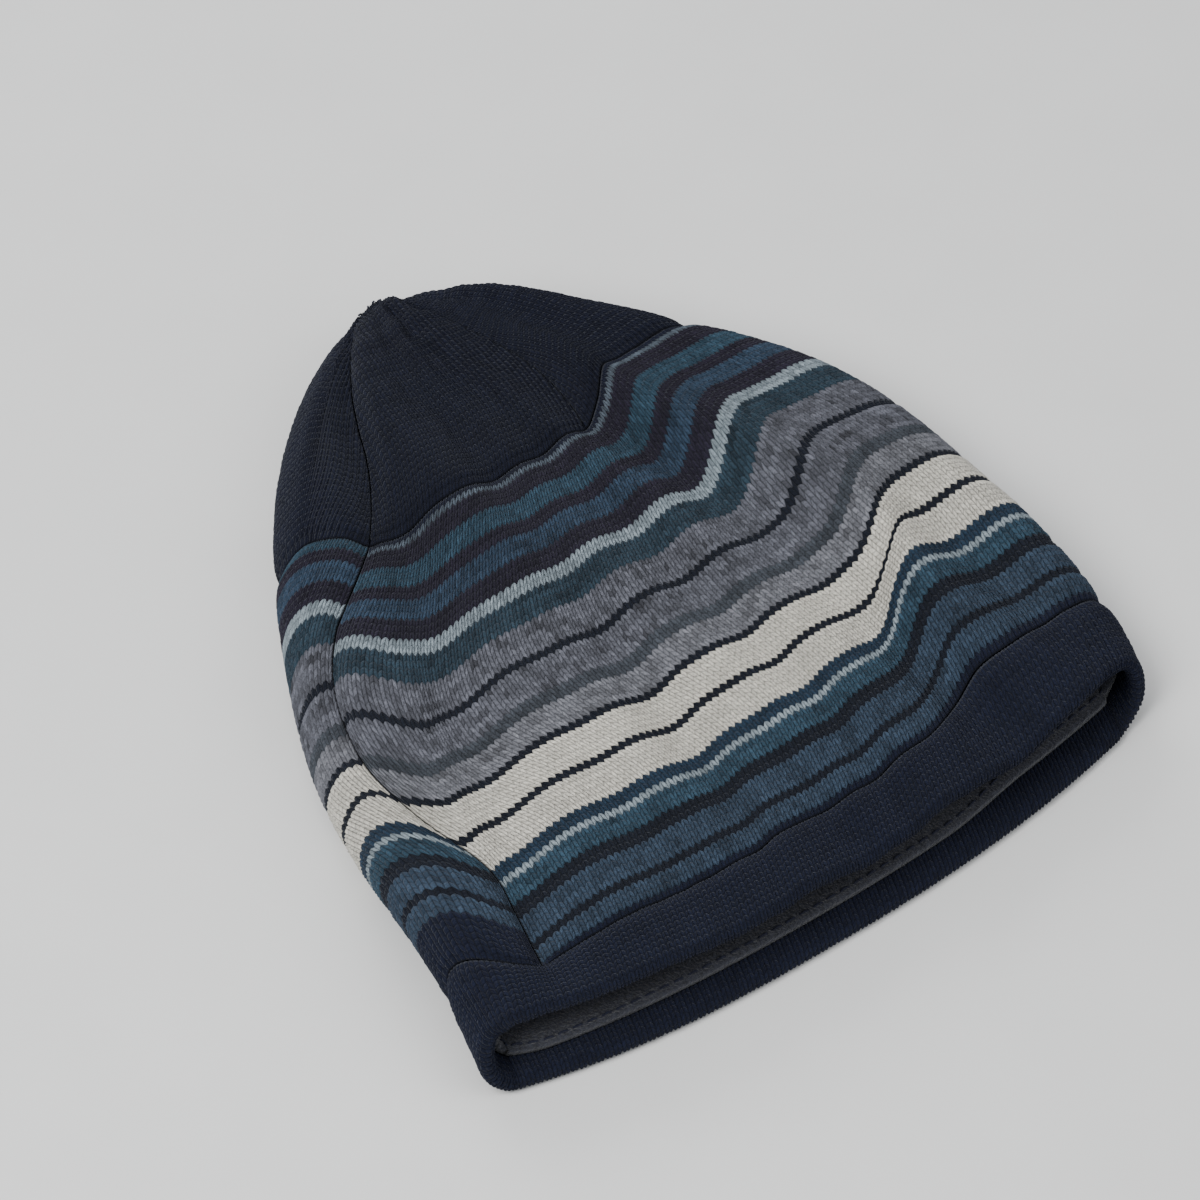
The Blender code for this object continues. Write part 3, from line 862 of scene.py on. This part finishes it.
def body_panel(name, node, first_seam, yarns, material, seed):
    """Half of the striped body, sewn to the other half at the two side seams."""
    def lay(wale, course, level):
        v = BRIM_TOP + EDGE_GAP + (BODY_TOP - BRIM_TOP - 2.0 * EDGE_GAP) * course / BODY_COURSES
        gap = BUTT_GAP / 2.0 / quarter_girth(middle_y(v))
        p = first_seam + gap + (2.0 - 2.0 * gap) * wale / PANEL_WALES
        return skin(v, p), skin(v, p, KNIT), np.zeros(v.shape, bool)

    piece = knit_shell(name, PANEL_WALES, BODY_COURSES, lay, yarns, material, seed)
    return place_piece(piece, "striped_knit", node)


def crown_gore(name, node, first_seam, material, seed):
    """A quarter of the crown, cut to a point so that its wales end at its seams."""
    start = BODY_TOP + EDGE_GAP

    def lay(wale, course, level):
        v = start + (GORE_TOP - start) * course / GORE_COURSES
        flat_v = start + (GORE_TOP - start) * level / GORE_COURSES
        reach = quarter_girth(middle_y(flat_v)) / 2.0 - BUTT_GAP / 2.0
        from_middle = (wale - GORE_WALES / 2.0) * WALE
        pinned = np.abs(from_middle) >= reach
        v = np.where(pinned, flat_v, v)
        share = np.clip(from_middle / reach, -1.0, 1.0) * (1.0 - BUTT_GAP / (2.0 * reach + BUTT_GAP))
        p = first_seam + 0.5 + 0.5 * share
        return skin(v, p), skin(v, p, KNIT), pinned

    yarns = ["crown_navy"] * GORE_COURSES
    piece = knit_shell(name, GORE_WALES, GORE_COURSES, lay, yarns, material, seed)
    merge_pinned(piece)
    return place_piece(piece, "crown_knit", node)


def brim(material):
    """A band of knit folded in two over the hem."""
    fold = KNIT + PLY_GAP / 2.0
    half_gap = PLY_GAP / 2.0
    top = BRIM_TOP - EDGE_GAP
    straight = top * CLOTH_LENGTH - fold
    arc = np.pi * fold
    total = 2.0 * straight + arc

    def lay(wale, course, level):
        s = total * (1.0 - course / BRIM_COURSES)       # distance from the outer ply's top edge
        turn = np.clip((s - straight) / arc, 0.0, 1.0) * np.pi
        line = top - (np.minimum(s, straight) - np.maximum(s - straight - arc, 0.0)) / CLOTH_LENGTH
        p = 4.0 * wale / BRIM_WALES
        outside = skin(line - fold * np.sin(turn) / CLOTH_LENGTH, p, fold - fold * np.cos(turn))
        inside = skin(line - half_gap * np.sin(turn) / CLOTH_LENGTH, p, fold - half_gap * np.cos(turn))
        return outside, inside, np.zeros(s.shape, bool)

    yarns = ["navy"] * BRIM_COURSES
    piece = knit_shell("brim_knit", BRIM_WALES, BRIM_COURSES, lay, yarns, material, seed=31, ring=True)
    return place_piece(piece, "navy_knit", "brim_band"), total


def smooth_shell(name, v_span, p_span, depths, rows, columns, material, rough=0.0, seed=0):
    """A closed plain sheet between two depths, with a rough face turned to the inside of the hat."""
    v = np.linspace(*v_span, rows + 1)[:, None]
    p = np.linspace(*p_span, columns + 1)[None, :]
    rng = np.random.default_rng(seed)
    pile = rough * rng.random((rows + 1, columns + 1))
    points = np.stack((skin(v, p, depths[0]), skin(v, p, depths[1] - pile)))
    outer, inner = np.arange(points[..., 0].size).reshape(points.shape[:3])
    faces = [outward_faces(outer), inward_faces(inner)]
    faces += rim(outer[0], inner[0], 1, True) + rim(outer[-1], inner[-1], 1, False)
    faces += rim(outer[:, 0], inner[:, 0], 1, False) + rim(outer[:, -1], inner[:, -1], 1, True)
    return mesh_object(name, points.reshape(-1, 3), faces, material)


def overlock(name, node, v, p, half, cyclic, material):
    """An overlocked seam: loops of thread wound over a flat bundle, on the inside of the hat.

    v and p follow the seam closely; half is its half width at each of those points, in p for a seam
    that runs up the hat and in v for one that runs round it.
    """
    middle = KNIT + RIDGE_GAP + SEAM_RIDGE / 2.0
    centre = skin(v, p, middle)
    travelled = np.concatenate(([0.0], np.cumsum(np.linalg.norm(np.diff(centre, axis=0), axis=1))))
    turns = int(travelled[-1] / OVERLOCK_PITCH)
    where = np.linspace(0.0, travelled[-1], turns * LOOP_POINTS + 1)
    if cyclic:
        where = where[:-1]
    angle = 2.0 * np.pi * np.arange(len(where)) / LOOP_POINTS
    v_at, p_at, half_at = (np.interp(where, travelled, line) for line in (v, p, half))
    side = half_at * np.cos(angle)
    depth = middle + (SEAM_RIDGE / 2.0 - SEWING_THREAD) * np.sin(angle)
    loops = skin(v_at + side, p_at, depth) if cyclic else skin(v_at, p_at + side, depth)
    paths = [(loops, cyclic, 1.0)]
    for share in BUNDLE:
        offset = share * half
        core = skin(v + offset, p, middle) if cyclic else skin(v, p + offset, middle)
        paths.append((core[:-1] if cyclic else core, cyclic, BUNDLE_THICKNESS))
    return place_piece(strands(name, paths, SEWING_THREAD, material), "overlock_thread", node)


def seams(material):
    p = np.linspace(0.0, 4.0, RING_POINTS + 1)
    half_width = SEAM_HALF_WIDTH / CLOTH_LENGTH
    half = np.full(RING_POINTS + 1, half_width)
    brim_middle = BRIM_TOP + EDGE_GAP + half_width
    overlock("brim_overlock", "brim_seam", 0.0 * p + brim_middle, p, half, True, material)
    overlock("crown_ring_overlock", "crown_ring_seam", 0.0 * p + BODY_TOP, p, half, True, material)

    clear = RUN_CLEARANCE * half_width
    runs = [("side_overlock_left", "side_seam_left", 0, brim_middle + clear, BODY_TOP - clear),
            ("side_overlock_right", "side_seam_right", 2, brim_middle + clear, BODY_TOP - clear)]
    for seam, place in enumerate(("front_left", "front_right", "back_right", "back_left")):
        runs.append((f"crown_overlock_{place}", f"crown_seam_{place}", seam, BODY_TOP + clear, SEAM_TOP))
    for name, node, seam, start, end in runs:
        v = np.linspace(start, end, RUN_POINTS)
        half = np.minimum(SEAM_HALF_WIDTH / quarter_girth(middle_y(v)), SEAM_NARROWEST)
        overlock(name, node, v, 0.0 * v + seam, half, False, material)


def lining(fleece, thread):
    """The fleece ear band, two rows of stitches that hold it, and the zigzag that joins its ends."""
    top = 2.0 * KNIT + 2.0 * PLY_GAP
    bottom = top + FLEECE
    gap = BUTT_GAP / 2.0 / quarter_girth(BAND_MIDDLE)
    band = smooth_shell("ear_band_fleece", (LINING_BOTTOM, LINING_TOP), (gap, 4.0 - gap), (top, bottom),
                        rows=40, columns=300, material=fleece, rough=PILE, seed=51)
    place_piece(band, "fleece", "ear_band_lining")

    inset = STITCH_INSET / 2.0
    for place, v in (("lower", LINING_BOTTOM + inset), ("upper", LINING_TOP - inset)):
        dashes = []
        for k in range(DASHES):
            p = 4.0 * (k + DASH_PLACES) / DASHES
            dashes.append((skin(v, p, bottom + DASH_HEIGHTS), False, 1.0))
        row = strands(f"lining_{place}_stitches", dashes, SEWING_THREAD, thread)
        place_piece(row, "overlock_thread", f"lining_{place}_stitch")

    v = np.arange(LINING_BOTTOM + STITCH_INSET, LINING_TOP - STITCH_INSET, ZIGZAG_STEP)
    side = np.where(np.arange(len(v)) % 2 == 0, -ZIGZAG_HALF_WIDTH, ZIGZAG_HALF_WIDTH)
    zigzag = (skin(v, side, bottom + ZIGZAG_HEIGHT), False, 1.0)
    join = strands("lining_join_zigzag", [zigzag], ZIGZAG_THREAD, thread)
    place_piece(join, "overlock_thread", "lining_join_stitch")
    return band


def label(material):
    top = KNIT + 2.0 * RIDGE_GAP + SEAM_RIDGE
    piece = smooth_shell("care_label_tape", (LABEL_BOTTOM, LABEL_TOP), (-LABEL_LENGTH, LABEL_HOLD),
                         (top, top + LABEL_THICKNESS), rows=12, columns=24, material=material)
    return place_piece(piece, "satin_tape", "care_label")


def tack(material):
    """Threads sewn across the pole, which draw the four gores together."""
    paths = []
    for k in range(TACK_LINES):
        p = 4.0 * k / TACK_LINES + TACK_START
        out = skin(TACK_REACH, p, -TACK_HEIGHT)
        back = skin(TACK_REACH[::-1], p + 2.0, -TACK_HEIGHT)
        paths.append((np.concatenate((out, back)), False, 1.0))
    turn = np.linspace(0.0, KNOT_TURNS, TURN_POINTS * KNOT_TURNS + 1)
    knot = skin(KNOT_AT - KNOT_WANDER * np.cos(np.pi * turn), 4.0 * turn, -KNOT_HEIGHT)
    paths.append((knot, False, KNOT_THICKNESS))
    threads = strands("crown_tack_threads", paths, TACK_THREAD, material)
    return place_piece(threads, "overlock_thread", "crown_tack")


def build():
    yarn = knit_material()
    let_slacken(yarn)
    fleece = fleece_material()
    thread = thread_material()
    stripes = courses_of(STRIPES)
    stepped = ["navy"] * PANEL_STEP + stripes[:-PANEL_STEP]
    back = body_panel("back_panel_knit", "back_panel", 2, stepped, yarn, seed=21)
    front = body_panel("front_panel_knit", "front_panel", 0, stripes, yarn, seed=11)
    for seam, place in enumerate(("front", "right", "back", "left")):
        node = f"crown_gore_{place}"
        crown_gore(f"{node}_knit", node, seam, yarn, seed=41 + 2 * seam)
    brim_piece, brim_width = brim(yarn)
    seams(thread)
    band = lining(fleece, thread)
    label_piece = label(satin_material())
    tack(thread)


# ---------------------------------------- stage

VIEW_AZIMUTH = -35.7
VIEW_ELEVATION = 50.0
VIEW_DISTANCE = 1.7
FIELD_WIDTH = 0.300         # width of the picture at the hat
SENSOR_MM = 36.0
CLIP_END = 20.0
FLOOR_SIZE = 8.0
FLOOR_GAP = 0.0002          # the floor lies this far below the frame's lowest point
# Name, azimuth, elevation, distance, diameter and power of each light
LIGHTS = (
    ("key", -75.0, 52.0, 1.2, 0.7, 16.0),
    ("fill", 35.0, 40.0, 1.5, 1.2, 8.0),
    ("back", 170.0, 35.0, 1.4, 0.9, 10.0),
)
SKY = (0.92, 0.95, 1.0, 1.0)
SKY_STRENGTH = 0.55


def towards(azimuth, elevation):
    """Direction from the hat to somebody who sees it from azimuth and elevation, in degrees."""
    azimuth, elevation = math.radians(azimuth), math.radians(elevation)
    across = math.cos(elevation)
    return np.array([math.sin(azimuth) * across, -math.cos(azimuth) * across, math.sin(elevation)])


def aim(name, data, place, target):
    """A light or a camera that stands at a place and looks at the target."""
    obj = bpy.data.objects.new(name, data)
    obj.location = place
    obj.rotation_euler = Vector(target - place).to_track_quat("-Z", "Y").to_euler()
    bpy.context.scene.collection.objects.link(obj)
    return obj


def softbox(name, azimuth, elevation, distance, size, power, target):
    light = bpy.data.lights.new(name, "AREA")
    light.shape = "DISK"
    light.size = size
    light.energy = power
    aim(name, light, target + distance * towards(azimuth, elevation), target)


def stage():
    low, high = CAD_BOX
    target = np.array([(low[k] + high[k]) / 2.0 for k in range(3)])
    bpy.ops.mesh.primitive_plane_add(size=FLOOR_SIZE, location=(0.0, 0.0, low[2] - FLOOR_GAP))
    floor = bpy.context.object
    floor.name = "floor"
    floor.data.materials.append(floor_material())

    camera = bpy.data.cameras.new("camera")
    camera.sensor_width = SENSOR_MM
    camera.lens = SENSOR_MM * VIEW_DISTANCE / FIELD_WIDTH
    camera.clip_end = CLIP_END
    place = target + VIEW_DISTANCE * towards(VIEW_AZIMUTH, VIEW_ELEVATION)
    bpy.context.scene.camera = aim("camera", camera, place, target)

    for light in LIGHTS:
        softbox(*light, target)
    world = bpy.data.worlds.new("studio")
    world.use_nodes = True
    background = world.node_tree.nodes["Background"]
    background.inputs["Color"].default_value = SKY
    background.inputs["Strength"].default_value = SKY_STRENGTH
    bpy.context.scene.world = world


build()
stage()
